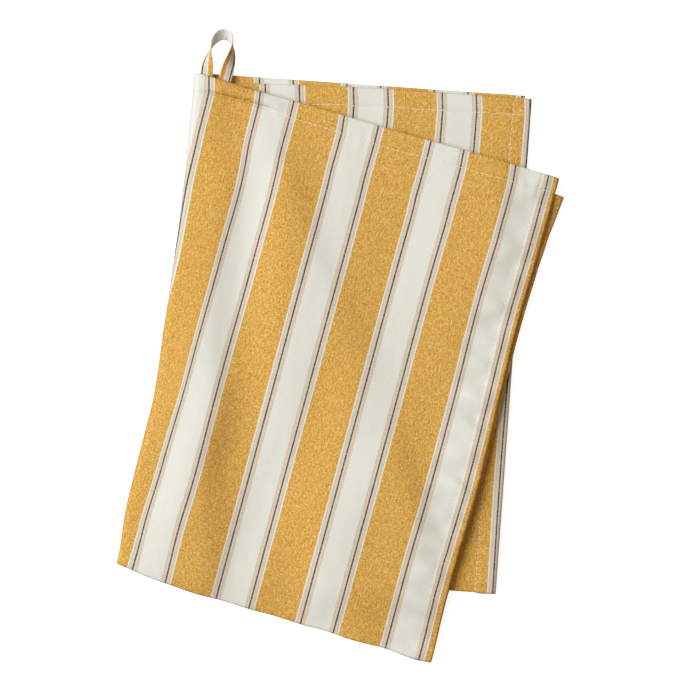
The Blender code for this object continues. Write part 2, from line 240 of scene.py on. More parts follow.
def folded(u, v):   # the middle of the cloth's thickness
    u, v = np.broadcast_arrays(np.asarray(u, float), np.asarray(v, float))
    w, h = crossFold(u, v)
    across, along, height, turn = lengthFold(u, w, h)
    past = smooth(pastBack(across, along), 0, folds["drapeTo"])
    across = hollow(across, along)
    lean = folds["lean"]
    x = folds["foot"][0] + across * math.cos(lean) + along * math.sin(lean)
    y = folds["foot"][1] - across * math.sin(lean) + along * math.cos(lean)
    front = smooth(turn, 0, math.pi)
    x, y = sway(x, y, (1 + h / folds["crossRadius"]) / 2, front)
    stack = 2 * (folds["radius"] + folds["crossRadius"])
    rise = (height + folds["crossRadius"]) * (1 + creaseShare * creaseHeight(x, y) / stack)
    lift = (edgeLift(x, y) - (2 * folds["radius"] - folds["floorGap"]) * past) * front
    return np.stack([x, y, rise + lift], axis=-1)


def rightSide(u, v):   # unit normal on the cloth's right side
    step = cloth["normalStep"]
    alongU = folded(u + step, v) - folded(u - step, v)
    alongV = folded(u, v + step) - folded(u, v - step)
    normal = np.cross(alongU, alongV)
    return normal / np.linalg.norm(normal, axis=-1, keepdims=True)


# the seams of the four hems, and the small relief that they give the cloth
hems = {
    "loopEnd": (   # u, and how far the seam is from the edge there
        (0.000, 0.0112), (0.050, 0.0122), (0.120, 0.0130), (0.190, 0.0117), (0.2075, 0.0100),
        (0.230, 0.0099), (0.250, 0.0110), (0.262, 0.0138), (0.275, 0.0120), (0.499, 0.0120),
    ),
    "farEnd": ((0.000, 0.0118), (0.200, 0.0126), (0.300, 0.0132), (0.420, 0.0126), (0.499, 0.0116)),
    "freeEdge": ((0.000, 0.0123), (0.691, 0.0123)),   # v, and the same
    "backEdge": (
        (0.000, 0.0135), (0.330, 0.0145), (0.470, 0.0145), (0.590, 0.0129), (0.691, 0.0127),
    ),
    "wander": 0.00012,
    "wanderSize": 0.035,
    "raise": 0.00030,
    "raiseTo": (0.0002, 0.0016),   # past the seam, where the raised hem runs out
    "groove": 0.00040,
    "grooveWide": 0.0008,
    "pucker": 0.00014,
    "puckerSize": 0.011,
    "puckerLean": 0.4,
    "puckerReach": 0.0060,
    "dent": 0.00075,            # longer dents beside the free edge's seam
    "dentLong": 0.024,
    "dentLean": 0.5,
    "dentReach": 0.013,
    "tucked": (0.192, 0.214, 0.240, 0.258),   # the loop's ends fill the hem between these places
    "bulge": 0.0018,
    "crease": 0.0012,               # below the bulge, along the seam
    "creaseWide": 0.0011,
    "loopSkew": (   # u, and how askew the stripes run in the turned hem
        (0.000, 0.03), (0.0316, 0.08), (0.0691, 0.06), (0.0928, 0.02), (0.1303, 0.03),
        (0.1540, 0.12), (0.1915, 0.03), (0.2152, 0.13), (0.2527, 0.19), (0.290, -0.09),
        (0.470, -0.09), (0.499, -0.05),
    ),
    "farSkew": 0.10,
}
slips = (   # where the stripes stray from the straight: u, v, how far, reach across and along
    (0.100, 0.000, 0.0006, 0.150, 0.280),
    (0.205, 0.125, 0.0014, 0.030, 0.050),
    (0.222, 0.250, -0.0030, 0.014, 0.055),
    (0.225, 0.345, -0.0028, 0.016, 0.025),
    (0.190, 0.285, 0.0014, 0.014, 0.060),
    (0.030, 0.155, 0.0010, 0.030, 0.070),
    (0.248, 0.010, 0.0018, 0.022, 0.035),
    (0.2527, 0.075, -0.0013, 0.012, 0.030),
    (0.2527, 0.145, 0.0014, 0.012, 0.040),
    (0.218, 0.070, 0.0009, 0.016, 0.070),
    (0.000, 0.530, -0.0030, 0.050, 0.170),
    (0.000, 0.685, -0.0028, 0.030, 0.045),
    (0.470, 0.690, -0.0015, 0.090, 0.090),
    (0.490, 0.430, 0.0014, 0.060, 0.100),
)
drape = {
    "swell": 0.00016,
    "swellSize": 0.045,
    "swellLean": 0.5,
    "dimple": 0.00003,
    "dimpleSize": 0.012,
    "dimpleLean": 0.6,
}
uneven = {"waves": 7, "slowest": 0.6, "fastest": 1.5}   # the waves that drift adds up
seeds = {"swell": 3, "seam": 5, "dimple": 7, "pucker": 11, "dent": 17, "stitch": 21, "slub": 31}


def drift(x, y, size, seed):   # a smooth uneven field about zero, the same each run
    rng = np.random.default_rng(seed)
    total = 0
    for _ in range(uneven["waves"]):
        angle, phase = rng.uniform(0, 2 * math.pi, 2)
        rate = 2 * math.pi / size * rng.uniform(uneven["slowest"], uneven["fastest"])
        total = total + np.sin(rate * (x * math.cos(angle) + y * math.sin(angle)) + phase)
    return total / math.sqrt(uneven["waves"] / 2)


def seamDepth(side, place):   # how far a hem's seam is from its edge
    table = np.array(hems[side])
    depth = np.interp(place, table[:, 0], table[:, 1])
    return depth + hems["wander"] * drift(place, 0, hems["wanderSize"], seeds["seam"])


def tuckedShare(u):   # where the loop's ends lie in the hem
    begin, full, last, end = hems["tucked"]
    return smooth(u, begin, full) * (1 - smooth(u, last, end))


def hemSides(u, v):   # each hem, how far a point is from its edge, and where along it
    return (("loopEnd", v, u), ("farEnd", cloth["length"] - v, u),
            ("freeEdge", u, v), ("backEdge", cloth["width"] - u, v))


def relief(u, v):   # height of the fine relief off the folded shape, along the right side's normal
    band, groove, pucker = 0, 0, 0
    for side, depth, place in hemSides(u, v):
        past = depth - seamDepth(side, place)
        band = np.maximum(band, 1 - smooth(past, *hems["raiseTo"]))
        groove = np.maximum(groove, np.exp(-((past / hems["grooveWide"]) ** 2)))
        ripple = drift(place, depth * hems["puckerLean"], hems["puckerSize"], seeds["pucker"])
        pucker = pucker + ripple * np.exp(-((past / hems["puckerReach"]) ** 2))
    loopSeam = seamDepth("loopEnd", u)
    bulge = hems["bulge"] * np.sin(math.pi * np.clip(v / loopSeam, 0, 1))
    bulge = bulge - hems["crease"] * np.exp(-(((v - loopSeam) / hems["creaseWide"]) ** 2))
    fromSeam = (u - seamDepth("freeEdge", v)) / hems["dentReach"]
    dents = drift(v, u * hems["dentLean"], hems["dentLong"], seeds["dent"])
    dents = hems["dent"] * dents * np.exp(-(fromSeam**2))
    swell = drift(u, v * drape["swellLean"], drape["swellSize"], seeds["swell"])
    dimple = drift(u, v * drape["dimpleLean"], drape["dimpleSize"], seeds["dimple"])
    seams = band * hems["raise"] - groove * hems["groove"] + pucker * hems["pucker"]
    return (seams + tuckedShare(u) * bulge + dents
            + drape["swell"] * swell + drape["dimple"] * dimple)


def stripePlan(u, v):   # where the stripes take their colour: turned hems pull them askew
    table = np.array(hems["loopSkew"])
    skew = np.interp(u, table[:, 0], table[:, 1])
    planU = u - skew * np.maximum(seamDepth("loopEnd", u) - v, 0)
    inFarHem = np.maximum(v - cloth["length"] + seamDepth("farEnd", u), 0)
    planU = planU + hems["farSkew"] * inFarHem
    for slipU, slipV, slip, across, along in slips:
        planU = planU + slip * np.exp(-(((u - slipU) / across) ** 2) - ((v - slipV) / along) ** 2)
    return np.stack([planU, v], axis=-1)


def gridLine(length, arcStart, arcEnd, steps):   # hem to hem, with its own steps round the fold
    hem = (0, *cloth["hemGrid"])
    knots = [*hem, arcStart, arcEnd, *(length - place for place in reversed(hem))]
    places = [0.0]
    for start, end, count in zip(knots, knots[1:], steps):
        places += [start + (end - start) * i / count for i in range(1, count + 1)]
    return np.stack(np.broadcast_arrays(*places))


def clothGrid():   # u and v of a grid whose lines follow both folds
    rows, columns = np.indices((sum(cloth["alongSteps"]) + 1, sum(cloth["acrossSteps"]) + 1))
    u = cloth["width"] * columns / columns.max()
    quarter = math.pi * folds["crossRadius"] / 2
    for _ in range(cloth["settleRounds"]):
        line = crossLine(u)
        lines = gridLine(cloth["length"], line - quarter, line + quarter, cloth["alongSteps"])
        v = lines[rows, rows, columns]
        w, h = crossFold(u, v)
        radius, offset, slide = foldShape(w, h)
        sine, cosine = math.sin(folds["slant"]), math.cos(folds["slant"])
        arcEnd = folds["start"] + (offset - slide + w * sine) / cosine
        arcStart = arcEnd - math.pi * radius / cosine
        lines = gridLine(cloth["width"], arcStart, arcEnd, cloth["acrossSteps"])
        u = lines[columns, rows, columns]
    return u, v


def pictureShift():   # from the picture's middle to the frame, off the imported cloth's own box
    low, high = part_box("towel_cloth")
    u, v = clothGrid()
    places = folded(u, v).reshape(-1, 3)
    middle = (places.min(axis=0) + places.max(axis=0)) / 2
    return np.array([(low.x + high.x) / 2 - middle[0], (low.y + high.y) / 2 - middle[1],
                     cloth["lift"]])


shift = pictureShift()
print("picture's middle lies at", [round(float(value), 5) for value in shift])


def onlySelect(item):
    bpy.ops.object.select_all(action="DESELECT")
    item.select_set(True)
    bpy.context.view_layer.objects.active = item


def coordinates(mesh):
    flat = np.empty(len(mesh.vertices) * 3)
    mesh.vertices.foreach_get("co", flat)
    return flat.reshape(-1, 3)


def setCoordinates(mesh, places):
    mesh.vertices.foreach_set("co", np.asarray(places, float).ravel())
    mesh.update()


def setPlan(mesh, name, plan):   # a UV map in metres of cloth, one pair for each vertex
    layer = mesh.uv_layers.new(name=name)
    corners = np.empty(len(mesh.loops), int)
    mesh.loops.foreach_get("vertex_index", corners)
    layer.data.foreach_set("uv", np.asarray(plan, float)[corners].ravel())


def hemShare(u, v):   # 1 where the cloth is turned double
    share = 0
    for side, depth, place in hemSides(u, v):
        past = depth - seamDepth(side, place) - cloth["hemPast"]
        share = np.maximum(share, 1 - smooth(past, 0, cloth["hemStep"]))
    return share


def addCloth():
    nx, ny = sum(cloth["acrossSteps"]), sum(cloth["alongSteps"])
    bpy.ops.object.select_all(action="DESELECT")
    bpy.ops.mesh.primitive_grid_add(x_subdivisions=nx, y_subdivisions=ny, size=1, calc_uvs=False)
    towel = bpy.context.object
    towel.name = towel.data.name = "tea_towel"
    flat = coordinates(towel.data)
    column = np.rint((flat[:, 0] + 0.5) * nx).astype(int)
    row = np.rint((flat[:, 1] + 0.5) * ny).astype(int)
    planU, planV = clothGrid()
    u, v = planU[row, column], planV[row, column]
    out = cloth["thick"] / 2 + relief(u, v)
    setCoordinates(towel.data, folded(u, v) + rightSide(u, v) * out[:, None] + shift)
    setPlan(towel.data, "clothPlan", stripePlan(u, v))

    share = hemShare(u, v)
    group = towel.vertex_groups.new(name="turned hem")
    for index in np.nonzero(share > 0)[0]:
        group.add([int(index)], float(share[index]), "REPLACE")
    onlySelect(towel)
    solid = towel.modifiers.new("cloth thickness", "SOLIDIFY")
    solid.thickness = cloth["thick"] + cloth["hemThick"]
    solid.vertex_group = group.name
    solid.thickness_vertex_group = cloth["thick"] / solid.thickness
    solid.offset = -1
    bpy.ops.object.modifier_apply(modifier=solid.name)
    bpy.ops.object.shade_smooth()
    return towel


towel = addCloth()
print("cloth folded,", len(towel.data.polygons), "faces")


# sewing thread: every hem's seam as single stitches on both sides of the cloth
thread = {
    "stitch": {"loopEnd": 0.0031, "farEnd": 0.0033, "freeEdge": 0.0028, "backEdge": 0.0025},
    "pitch": 0.0035,
    "margin": 0.004,          # what the seams leave free of an edge, both ends together
    "sinkFrom": 0.2,          # share of the loop's bulge from which a stitch is hidden
    "radius": 0.00030,
    "sides": 6,
    "flatten": 0.8,
    "wander": 0.00010,
    "wanderSize": 0.006,
    "wanderLean": 9,
    "twist": 0.0004,
    "shade": 0.82,            # of the darker strands
}


def stitchShape():   # one stitch: a grain a unit long and two units wide
    bpy.ops.object.select_all(action="DESELECT")
    sides = thread["sides"]
    bpy.ops.mesh.primitive_uv_sphere_add(segments=sides, ring_count=sides, radius=1)
    grain = bpy.context.object
    grain.rotation_euler = (0, math.pi / 2, 0)
    grain.scale = (1, 1, 0.5)
    bpy.ops.object.transform_apply(location=True, rotation=True, scale=True)
    places = coordinates(grain.data)
    faces = [tuple(face.vertices) for face in grain.data.polygons]
    bpy.data.objects.remove(grain)
    return places, faces


def sewn(name, starts, ends, normals, radius):   # one mesh: a stitch from each start to its end
    grain, faces = stitchShape()
    along = ends - starts
    side = np.cross(normals, along)
    side /= np.linalg.norm(side, axis=1, keepdims=True)
    places = (starts + ends)[:, None] / 2 + grain[None, :, :1] * along[:, None]
    places = places + grain[None, :, 1:2] * radius * side[:, None]
    places = places + grain[None, :, 2:3] * radius * thread["flatten"] * normals[:, None]
    allFaces = [tuple(i + k * len(grain) for i in face)
                for k in range(len(starts)) for face in faces]
    mesh = bpy.data.meshes.new(name)
    mesh.from_pydata(places.reshape(-1, 3), [], allFaces)
    item = bpy.data.objects.new(name, mesh)
    bpy.context.scene.collection.objects.link(item)
    onlySelect(item)
    bpy.ops.object.shade_smooth()
    return item


def addHemStitches():
    starts, ends, normals = [], [], []
    wide, long = cloth["width"], cloth["length"]
    pitch = thread["pitch"]
    for side, run in (("loopEnd", wide), ("farEnd", wide), ("freeEdge", long), ("backEdge", long)):
        count = int((run - thread["margin"]) / pitch)
        first = (run - count * pitch) / 2
        for onRight in (True, False):
            begin = first + np.arange(count) * pitch + (0 if onRight else pitch / 2)
            if side == "loopEnd" and onRight:   # its stitches sink in beside the loop
                begin = begin[tuckedShare(begin) < thread["sinkFrom"]]
            tips = []
            for place in (begin, begin + thread["stitch"][side]):
                lean, size = thread["wanderLean"], thread["wanderSize"]
                stray = thread["wander"] * drift(begin, place * lean, size, seeds["stitch"])
                depth = seamDepth(side, place) + stray
                u, v = {"loopEnd": (place, depth), "farEnd": (place, long - depth),
                        "freeEdge": (depth, place), "backEdge": (wide - depth, place)}[side]
                normal = rightSide(u, v)
                out = cloth["thick"] / 2 + relief(u, v)
                if not onRight:
                    out = out - cloth["thick"] - cloth["hemThick"] * hemShare(u, v)
                tips.append(folded(u, v) + normal * out[:, None] + shift)
            starts.append(tips[0])
            ends.append(tips[1])
            normals.append(normal)
    return sewn("hem_stitches", np.vstack(starts), np.vstack(ends), np.vstack(normals),
                thread["radius"])


hemStitches = addHemStitches()
print("hems sewn,", len(hemStitches.data.polygons), "faces")


# the hanging loop: a narrow tape of the same cloth, topstitched along its inner edge on both faces
loop = {
    "wide": 0.0090,
    "thick": 0.0012,
    "corner": 0.0005,
    "facing": 0.00035,         # higher off its middle than this, the tape shows its right side
    "steps": 100,
    "fine": 24,                # points to a place in the run, before it is evenly divided
    "faceSteps": 12,
    "cornerSteps": 3,
    "sharp": math.radians(50),
    "tuck": 0.0038,            # the tape's end, in from the hem's edge, and the next place on it
    "clear": 0.0015,
    "hemOver": 0.0010,         # in the solid, from the cloth's middle to the hem's inner face
    "edgeStep": 0.0004,        # how closely the hem's edge is searched for the tape's place
    "packedThick": 0.0013,
    "gap": 0.0009,
    "ends": ((-0.1012, math.radians(4)), (-0.0882, math.radians(14))),   # x at the hem's edge, lean
    "run": (   # x, y, z, turn: 0 lies face up, 90 stands on edge, more leans outward
        (-0.1007, 0.1965, 0.0052, 18),
        (-0.0997, 0.2030, 0.0053, 50),
        (-0.0982, 0.2095, 0.0055, 82),
        (-0.0957, 0.2155, 0.0052, 110),
        (-0.0925, 0.2192, 0.0045, 132),
        (-0.0888, 0.2204, 0.0041, 140),
        (-0.0853, 0.2190, 0.0045, 128),
        (-0.0834, 0.2152, 0.0052, 104),
        (-0.0831, 0.2095, 0.0055, 76),
        (-0.0842, 0.2030, 0.0053, 46),
        (-0.0860, 0.1965, 0.0052, 18),
    ),
    "stripeStart": 0.0616,     # where its inner edge was cut, across the cloth's stripes
    "innerStart": 0.0765,      # its wrong side is plain
    "innerShare": 0.5,
    "planFrom": 0.05,          # where along the cloth it was cut
    "seam": 0.0017,            # topstitching from the inner edge
    "seamGroove": 0.00012,
    "seamWide": 0.0005,
    "slub": 0.00004,           # unevenness of its face
    "slubSize": 0.004,
    "stitch": 0.0011,
    "pitch": 0.0019,
    "skipped": 1,              # stitches left out at each end
    "threadRadius": 0.00030,
    "sunk": 0.00008,           # the thread's middle below the tape's face
}


def underHem(edgeX, lean):   # two places of the tape's middle under the hem, from its end outwards
    foldU = folds["start"] + folds["foldedLength"] * math.tan(folds["slant"])
    edgeU = np.arange(0, foldU - 2 * math.pi * folds["radius"], loop["edgeStep"])
    u = np.interp(edgeX, folded(edgeU, 0)[::-1, 0], edgeU[::-1])
    down = loop["hemOver"] + loop["gap"] + loop["packedThick"] / 2
    places = []
    for v in (loop["tuck"], loop["clear"]):
        beside = u + v * math.tan(lean - folds["lean"] - folds["slant"])
        places.append([*(folded(beside, v) - rightSide(beside, v) * down), 0])
    return places


def tapeFrames():   # along the tape: middle, way to its inner edge, normal of its right side
    left, right = (underHem(*end) for end in loop["ends"])
    run, length = smoothRun([*left, *loop["run"], *reversed(right)], loop["steps"], loop["fine"])
    centre, turn = run[:, :3], np.radians(run[:, 3:])
    ahead = np.gradient(centre, axis=0)
    ahead /= np.linalg.norm(ahead, axis=1, keepdims=True)
    outward = np.cross((0, 0, 1), ahead)
    outward /= np.linalg.norm(outward, axis=1, keepdims=True)
    upward = np.cross(ahead, outward)
    face = np.cos(turn) * upward + np.sin(turn) * outward
    side = np.sin(turn) * upward - np.cos(turn) * outward
    return centre + shift, side, face, length


def tapeRelief(fromInner, along):   # on the outer face: the topstitched groove and a little slub
    groove = loop["seamGroove"] * np.exp(-(((fromInner - loop["seam"]) / loop["seamWide"]) ** 2))
    return loop["slub"] * drift(fromInner, along, loop["slubSize"], seeds["slub"]) - groove


def tapeSection():   # points round the tape: across it, and off its middle
    wide, thick, corner = loop["wide"] / 2, loop["thick"] / 2, loop["corner"]
    section = []
    for sx, sz, begin in ((1, 1, 0), (-1, 1, 90), (-1, -1, 180), (1, -1, 270)):
        for i in range(loop["cornerSteps"] + 1):
            angle = math.radians(begin + 90 * i / loop["cornerSteps"])
            section.append((sx * (wide - corner) + corner * math.cos(angle),
                            sz * (thick - corner) + corner * math.sin(angle)))
        if begin in (0, 180):
            x, z = section[-1]
            count = loop["faceSteps"]
            section += [(x - sx * 2 * (wide - corner) * i / count, z) for i in range(1, count)]
    return np.array(section)


def addLoop():
    section = tapeSection()
    count, rows = len(section), loop["steps"] + 1
    bpy.ops.object.select_all(action="DESELECT")
    bpy.ops.mesh.primitive_cylinder_add(vertices=count, radius=1, depth=1, end_fill_type="NGON")
    tape = bpy.context.object
    tape.name = tape.data.name = "hanging_loop_tape"
    bpy.ops.object.mode_set(mode="EDIT")
    bpy.ops.mesh.select_mode(type="EDGE")
    bpy.ops.mesh.select_all(action="DESELECT")
    bpy.ops.object.mode_set(mode="OBJECT")
    for edge in tape.data.edges:   # the upright edges
        a, b = (tape.data.vertices[i].co for i in edge.vertices)
        edge.select = abs(a.z - b.z) > 0.5
    bpy.ops.object.mode_set(mode="EDIT")
    bpy.ops.mesh.subdivide(number_cuts=rows - 2)
    bpy.ops.object.mode_set(mode="OBJECT")

    flat = coordinates(tape.data)
    row = np.rint((flat[:, 2] + 0.5) * (rows - 1)).astype(int)
    turns = np.arctan2(flat[:, 1], flat[:, 0]) / (2 * math.pi) * count
    point = np.rint(turns - turns[0] % 1).astype(int) % count
    centre, side, face, length = tapeFrames()
    across, off = section[point, 0], section[point, 1]
    fromInner, along = loop["wide"] / 2 - across, row * length / (rows - 1)
    off = off + np.where(off > 0, 1, 0) * tapeRelief(fromInner, along)
    setCoordinates(tape.data, centre[row] + side[row] * across[:, None] + face[row] * off[:, None])
    inner = loop["innerStart"] + fromInner * loop["innerShare"]
    stripeU = np.where(off > loop["facing"], loop["stripeStart"] + fromInner, inner)
    setPlan(tape.data, "clothPlan", np.stack([stripeU, along + loop["planFrom"]], axis=-1))
    onlySelect(tape)
    bpy.ops.object.mode_set(mode="EDIT")
    bpy.ops.mesh.select_all(action="SELECT")
    bpy.ops.mesh.normals_make_consistent(inside=False)
    bpy.ops.object.mode_set(mode="OBJECT")
    bpy.ops.object.shade_smooth_by_angle(angle=loop["sharp"])
    return tape


def addLoopStitches(name, sign):   # sign 1 sews the tape's right side, and -1 its wrong side
    centre, side, face, length = tapeFrames()
    stations = np.linspace(0, length, len(centre))
    count = int(length / loop["pitch"]) - 2 * loop["skipped"]
    begin = loop["pitch"] * (loop["skipped"] + np.arange(count))
    tips = []
    for place in (begin, begin + loop["stitch"]):
        middle, beside, outward = (
            np.stack([np.interp(place, stations, values[:, k]) for k in range(3)], axis=-1)
            for values in (centre, side, face))
        off = sign * (loop["thick"] / 2 - loop["sunk"])
        tips.append(middle + beside * (loop["wide"] / 2 - loop["seam"]) + outward * off)
    normals = outward / np.linalg.norm(outward, axis=1, keepdims=True)
    return sewn(name, tips[0], tips[1], normals, loop["threadRadius"])


tape = addLoop()
loopStitches = addLoopStitches("loop_stitches", 1)
loopUnderStitches = addLoopStitches("loop_under_stitches", -1)
print("loop made,", len(tape.data.polygons), "faces")


# cotton: places are in metres of cloth, and colours in screen values from 0 to 255
stripes = {
    "first": 0.0079,          # the first dark line, from the front's free edge
    "pitch": 0.0612,
    "pale": 0.0237,           # dark line to dark line over an off-white stripe
    "bandsWide": 0.005,       # a dark line with the thin bands on one side of it
    "mustardFrom": (0.00385, 0.00415),
    "linesTo": (0.0030, 0.0040),
    "beadCore": (0.0003, 0.0006),   # pale beads of weft show along the dark line
    "beads": (0.45, 0.70),          # from none to all, by the weft's streaks
    "beadShare": 0.3,
    "dark": (76, 66, 58),
    "cream": (217, 202, 180),
    "peach": (207, 192, 168),
    "greyBeige": (201, 190, 171),
    "paleBeige": (221, 212, 198),
    "thinWhite": (233, 227, 215),
    "offWhite": (225, 222, 211),
    "mustard": (212, 163, 78),
    "mustardDeep": (185, 122, 36),
    "mustardPale": (235, 200, 125),
    # painted shade in the tape's topstitching groove: its colour, and how far from the seam it
    # fades out
    "paintedSeamShade": (168, 114, 44),
    "paintedSeamShadeWide": (0.0002, 0.00055),
    "threadCream": (244, 232, 212),
    "threadYellow": (236, 190, 96),
}
yarnSizes = {   # across and along the stripes
    "pitch": 0.00042,
    "warp": (0.00085, 0.0050),
    "weft": (0.0034, 0.00070),
    "grain": (0.00115, 0.00140),
    "grainRough": 0.6,
    "weaveShare": 0.35,
}
heather = {   # light and dark yarns mixed in the mustard, and a weaker speckle on the whole cloth
    "warp": 0.30,
    "weft": 0.20,
    "grain": 0.50,
    "from": 0.31,
    "to": 0.69,
    "whiteSpeckle": 0.22,
    "lineSpeckle": 0.7,
}
paintedFoldShade = {"from": 0.35, "to": 0.98, "shade": 0.77}   # painted shade: the cloth's colour is darker where it turns steeply down at a fold
finish = {
    "cotton": {"roughness": 0.9, "sheen": 0.03},
    "thread": {"roughness": 0.7, "sheen": 0.1},
    "specular": 0.12,
    "sheenRoughness": 0.5,
    "bump": 0.35,
    "bumpDistance": 0.0002,
}


def linear(colour):   # screen values to Blender's; none of them here is nearly black
    return tuple(((c / 255 + 0.055) / 1.055) ** 2.4 for c in colour) + (1,)


class Tree:   # short ways to add and join nodes
    def __init__(self, tree):
        self.tree = tree

    def add(self, kind, **values):
        node = self.tree.nodes.new(kind)
        for name, value in values.items():
            setattr(node, name, value)
        return node

    def join(self, source, target):
        self.tree.links.new(source, target)

    def put(self, socket, value):
        if isinstance(value, bpy.types.NodeSocket):
            self.join(value, socket)
        else:
            socket.default_value = value

    def math(self, operation, *values):
        node = self.add("ShaderNodeMath", operation=operation)
        for socket, value in zip(node.inputs, values):
            self.put(socket, value)
        return node.outputs[0]

    def span(self, value, low, high, outLow=0.0, outHigh=1.0):
        node = self.add("ShaderNodeMapRange")
        for name, item in (("Value", value), ("From Min", low), ("From Max", high),
                           ("To Min", outLow), ("To Max", outHigh)):
            self.put(node.inputs[name], item)
        return node.outputs["Result"]

    def mix(self, factor, first, second, blend="MIX"):
        node = self.add("ShaderNodeMix", data_type="RGBA", blend_type=blend)
        self.put(node.inputs[0], factor)
        self.put(node.inputs[6], first)
        self.put(node.inputs[7], second)
        return node.outputs[2]

    def ramp(self, value, stops):
        node = self.add("ShaderNodeValToRGB")
        elements = node.color_ramp.elements
        elements[0].position, elements[0].color = stops[0]
        elements[1].position, elements[1].color = stops[-1]
        for position, colour in stops[1:-1]:
            elements.new(position).color = colour
        self.put(node.inputs["Fac"], value)
        return node.outputs["Color"]

    def noise(self, vector, sizes, rough=0.5):   # with a grain size across and along
        mapping = self.add("ShaderNodeMapping")
        self.put(mapping.inputs["Vector"], vector)
        mapping.inputs["Scale"].default_value = (1 / sizes[0], 1 / sizes[1], 1)
        node = self.add("ShaderNodeTexNoise", noise_dimensions="2D")
        self.put(node.inputs["Vector"], mapping.outputs["Vector"])
        for name, value in (("Scale", 1.0), ("Detail", 2.0), ("Roughness", rough)):
            self.put(node.inputs[name], value)
        return node.outputs["Fac"]


def newGroup(name, inputs, outputs):
    group = bpy.data.node_groups.new(name, "ShaderNodeTree")
    for socketName, kind, value in inputs:
        socket = group.interface.new_socket(socketName, in_out="INPUT", socket_type=kind)
        if value is not None:
            socket.default_value = value
    for socketName, kind in outputs:
        group.interface.new_socket(socketName, in_out="OUTPUT", socket_type=kind)
    tree = Tree(group)
    return group, tree, tree.add("NodeGroupInput"), tree.add("NodeGroupOutput")


def yarnGroup():   # the yarns of a plain weave: height, warp and weft streaks, and grain
    group, tree, given, out = newGroup(
        "cotton yarns",
        [("Plan", "NodeSocketVector", None), ("Yarn", "NodeSocketFloat", yarnSizes["pitch"])],
        [("Height", "NodeSocketFloat"), ("Warp", "NodeSocketFloat"), ("Weft", "NodeSocketFloat"),
         ("Grain", "NodeSocketFloat")],
    )
    plan, yarn = given.outputs["Plan"], given.outputs["Yarn"]
    split = tree.add("ShaderNodeSeparateXYZ")
    tree.join(plan, split.inputs[0])
    waves = []
    for place in (split.outputs[0], split.outputs[1]):
        turns = tree.math("DIVIDE", tree.math("MULTIPLY", place, math.pi), yarn)
        waves.append(tree.math("SINE", turns))
    weave = tree.span(tree.math("MULTIPLY", *waves), -1.0, 1.0)
    warp = tree.noise(plan, yarnSizes["warp"])
    weft = tree.noise(plan, yarnSizes["weft"])
    grain = tree.noise(plan, yarnSizes["grain"], yarnSizes["grainRough"])
    streaks = tree.math("ADD", tree.math("MULTIPLY", warp, 0.5), tree.math("MULTIPLY", weft, 0.5))
    height = tree.math("ADD", tree.math("MULTIPLY", weave, yarnSizes["weaveShare"]), streaks)
    for name, value in (("Height", height), ("Warp", warp), ("Weft", weft), ("Grain", grain)):
        tree.join(value, out.inputs[name])
    return group


def stripeGroup():   # the stripes woven across the cloth
    group, tree, given, out = newGroup(
        "woven stripes",
        [("Plan", "NodeSocketVector", None), ("Beads", "NodeSocketFloat", 0.5)],
        [("Colour", "NodeSocketColor"), ("Mustard", "NodeSocketFloat"),
         ("Lines", "NodeSocketFloat")],
    )
    split = tree.add("ShaderNodeSeparateXYZ")
    tree.join(given.outputs["Plan"], split.inputs[0])
    across = tree.math("SUBTRACT", split.outputs[0], stripes["first"])
    place = tree.math("FLOORED_MODULO", across, stripes["pitch"])
    toPale = tree.math("ABSOLUTE", tree.math("SUBTRACT", place, stripes["pale"]))
    toNext = tree.math("SUBTRACT", stripes["pitch"], place)
    reach = tree.math("MINIMUM", tree.math("MINIMUM", place, toPale), toNext)
    mustardSide = tree.math("GREATER_THAN", place, stripes["pale"])
    dark, cream, pale = (linear(stripes[name]) for name in ("dark", "cream", "paleBeige"))
    factor = tree.math("DIVIDE", reach, stripes["bandsWide"])

    def bands(beige, outer):   # outward from a dark line
        beige, outer = linear(stripes[beige]), linear(stripes[outer])
        return [(0.0, dark), (0.084, dark), (0.14, cream), (0.35, cream), (0.41, beige),
                (0.54, beige), (0.64, pale), (0.70, outer), (1.0, outer)]

    paleSide = tree.ramp(factor, bands("peach", "offWhite"))
    warmSide = tree.ramp(factor, bands("greyBeige", "thinWhite"))
    colour = tree.mix(mustardSide, paleSide, warmSide)
    beads = tree.span(given.outputs["Beads"], *stripes["beads"])
    core = tree.span(reach, *reversed(stripes["beadCore"]))
    beaded = tree.math("MULTIPLY", tree.math("MULTIPLY", core, beads), stripes["beadShare"])
    colour = tree.mix(beaded, colour, cream)
    mustard = tree.math("MULTIPLY", mustardSide, tree.span(reach, *stripes["mustardFrom"]))
    tree.join(tree.span(reach, *reversed(stripes["linesTo"])), out.inputs["Lines"])
    tree.join(colour, out.inputs["Colour"])
    tree.join(mustard, out.inputs["Mustard"])
    return group


yarns, wovenStripes = yarnGroup(), stripeGroup()


def principled(name, kind):
    material = bpy.data.materials.new(name)
    material.use_nodes = True
    tree = Tree(material.node_tree)
    shader = material.node_tree.nodes["Principled BSDF"]
    shader.inputs["Roughness"].default_value = finish[kind]["roughness"]
    shader.inputs["Specular IOR Level"].default_value = finish["specular"]
    shader.inputs["Sheen Weight"].default_value = finish[kind]["sheen"]
    shader.inputs["Sheen Roughness"].default_value = finish["sheenRoughness"]
    return material, tree, shader


